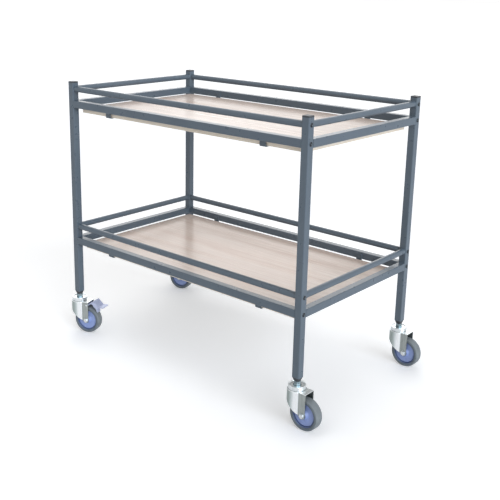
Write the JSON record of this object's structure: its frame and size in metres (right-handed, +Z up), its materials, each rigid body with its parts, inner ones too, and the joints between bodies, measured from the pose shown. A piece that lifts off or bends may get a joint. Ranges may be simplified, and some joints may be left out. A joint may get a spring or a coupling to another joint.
{
  "type": "utility trolley",
  "caption": "Two-level utility trolley with a square-tube steel frame, round guard rails, wood-grain deck boards and swivel casters with foot brakes at one end.",
  "frame": {"origin": "on the floor, under the middle of the trolley's overall box", "axes": "+X along the long side, towards the end without brakes; +Y towards the rear long side; +Z up"},
  "size_m": [1.2124, 0.645, 0.935],
  "materials": {
    "frame_paint": "satin blue-grey powder coat",
    "black_plastic": "matte moulded",
    "black_bolt": "black oxide, satin",
    "plain_steel": "plain zinc",
    "deck_board": "pale wood-grain laminate, satin",
    "zinc_plate": "bright zinc plate",
    "ball_steel": "polished",
    "wheel_centre": "moulded blue plastic, satin",
    "tyre": "matte grey rubber"
  },
  "bodies": {
    "frame": {"bearing_balls": "ball_steel", "caster_sockets": "black_plastic", "caster_stem_front_left": "zinc_plate", "caster_stem_front_right": "zinc_plate", "caster_stem_rear_left": "zinc_plate", "caster_stem_rear_right": "zinc_plate", "deck_brackets_lower": "frame_paint", "deck_brackets_upper": "frame_paint", "deck_lower": "deck_board", "deck_rail_lower_front": "frame_paint", "deck_rail_lower_left": "frame_paint", "deck_rail_lower_rear": "frame_paint", "deck_rail_lower_right": "frame_paint", "deck_rail_plugs": "plain_steel", "deck_rail_upper_front": "frame_paint", "deck_rail_upper_left": "frame_paint", "deck_rail_upper_rear": "frame_paint", "deck_rail_upper_right": "frame_paint", "deck_screws": "plain_steel", "deck_upper": "deck_board", "guard_rail_lower_front": "frame_paint", "guard_rail_lower_left": "frame_paint", "guard_rail_lower_rear": "frame_paint", "guard_rail_lower_right": "frame_paint", "guard_rail_plugs": "plain_steel", "guard_rail_upper_front": "frame_paint", "guard_rail_upper_left": "frame_paint", "guard_rail_upper_rear": "frame_paint", "guard_rail_upper_right": "frame_paint", "king_pin_retainers": "zinc_plate", "post_caps": "black_plastic", "post_front_left": "frame_paint", "post_front_right": "frame_paint", "post_rear_left": "frame_paint", "post_rear_right": "frame_paint", "rail_bolts": "black_bolt"},
    "swivel_front_left": {"caster_fork_front_left": "zinc_plate", "caster_axle_front_left": "zinc_plate", "brake_pin_front_left": "zinc_plate"},
    "wheel_front_left": {"wheel_hub_front_left": "wheel_centre", "wheel_tyre_front_left": "tyre"},
    "pedal_front_left": {"brake_pedal_front_left": "zinc_plate"},
    "swivel_front_right": {"caster_fork_front_right": "zinc_plate", "caster_axle_front_right": "zinc_plate"},
    "wheel_front_right": {"wheel_hub_front_right": "wheel_centre", "wheel_tyre_front_right": "tyre"},
    "swivel_rear_left": {"caster_fork_rear_left": "zinc_plate", "caster_axle_rear_left": "zinc_plate", "brake_pin_rear_left": "zinc_plate"},
    "wheel_rear_left": {"wheel_hub_rear_left": "wheel_centre", "wheel_tyre_rear_left": "tyre"},
    "pedal_rear_left": {"brake_pedal_rear_left": "zinc_plate"},
    "swivel_rear_right": {"caster_fork_rear_right": "zinc_plate", "caster_axle_rear_right": "zinc_plate"},
    "wheel_rear_right": {"wheel_hub_rear_right": "wheel_centre", "wheel_tyre_rear_right": "tyre"}
  },
  "joints": [
    {"name": "swivel_front_left", "type": "hinge", "parent": "frame", "child": "swivel_front_left", "pos_m": [-0.49475, -0.2925, 0.12], "axis": [0, 0, 1], "continuous": true},
    {"name": "spin_front_left", "type": "hinge", "parent": "swivel_front_left", "child": "wheel_front_left", "pos_m": [-0.46092, -0.28019, 0.05], "axis": [-0.342, 0.9397, 0], "continuous": true},
    {"name": "brake_front_left", "type": "hinge", "parent": "swivel_front_left", "child": "pedal_front_left", "pos_m": [-0.45716, -0.27882, 0.11], "axis": [-0.342, 0.9397, 0], "range_deg": [0, 7]},
    {"name": "swivel_front_right", "type": "hinge", "parent": "frame", "child": "swivel_front_right", "pos_m": [0.52025, -0.2925, 0.12], "axis": [0, 0, 1], "continuous": true},
    {"name": "spin_front_right", "type": "hinge", "parent": "swivel_front_right", "child": "wheel_front_right", "pos_m": [0.55625, -0.2925, 0.05], "axis": [0, 1, 0], "continuous": true},
    {"name": "swivel_rear_left", "type": "hinge", "parent": "frame", "child": "swivel_rear_left", "pos_m": [-0.49475, 0.2925, 0.12], "axis": [0, 0, 1], "continuous": true},
    {"name": "spin_rear_left", "type": "hinge", "parent": "swivel_rear_left", "child": "wheel_rear_left", "pos_m": [-0.52953, 0.28318, 0.05], "axis": [0.2588, -0.9659, 0], "continuous": true},
    {"name": "brake_rear_left", "type": "hinge", "parent": "swivel_rear_left", "child": "pedal_rear_left", "pos_m": [-0.53339, 0.28215, 0.11], "axis": [0.2588, -0.9659, 0], "range_deg": [0, 7]},
    {"name": "swivel_rear_right", "type": "hinge", "parent": "frame", "child": "swivel_rear_right", "pos_m": [0.52025, 0.2925, 0.12], "axis": [0, 0, 1], "continuous": true},
    {"name": "spin_rear_right", "type": "hinge", "parent": "swivel_rear_right", "child": "wheel_rear_right", "pos_m": [0.55625, 0.2925, 0.05], "axis": [0, 1, 0], "continuous": true}
  ]
}
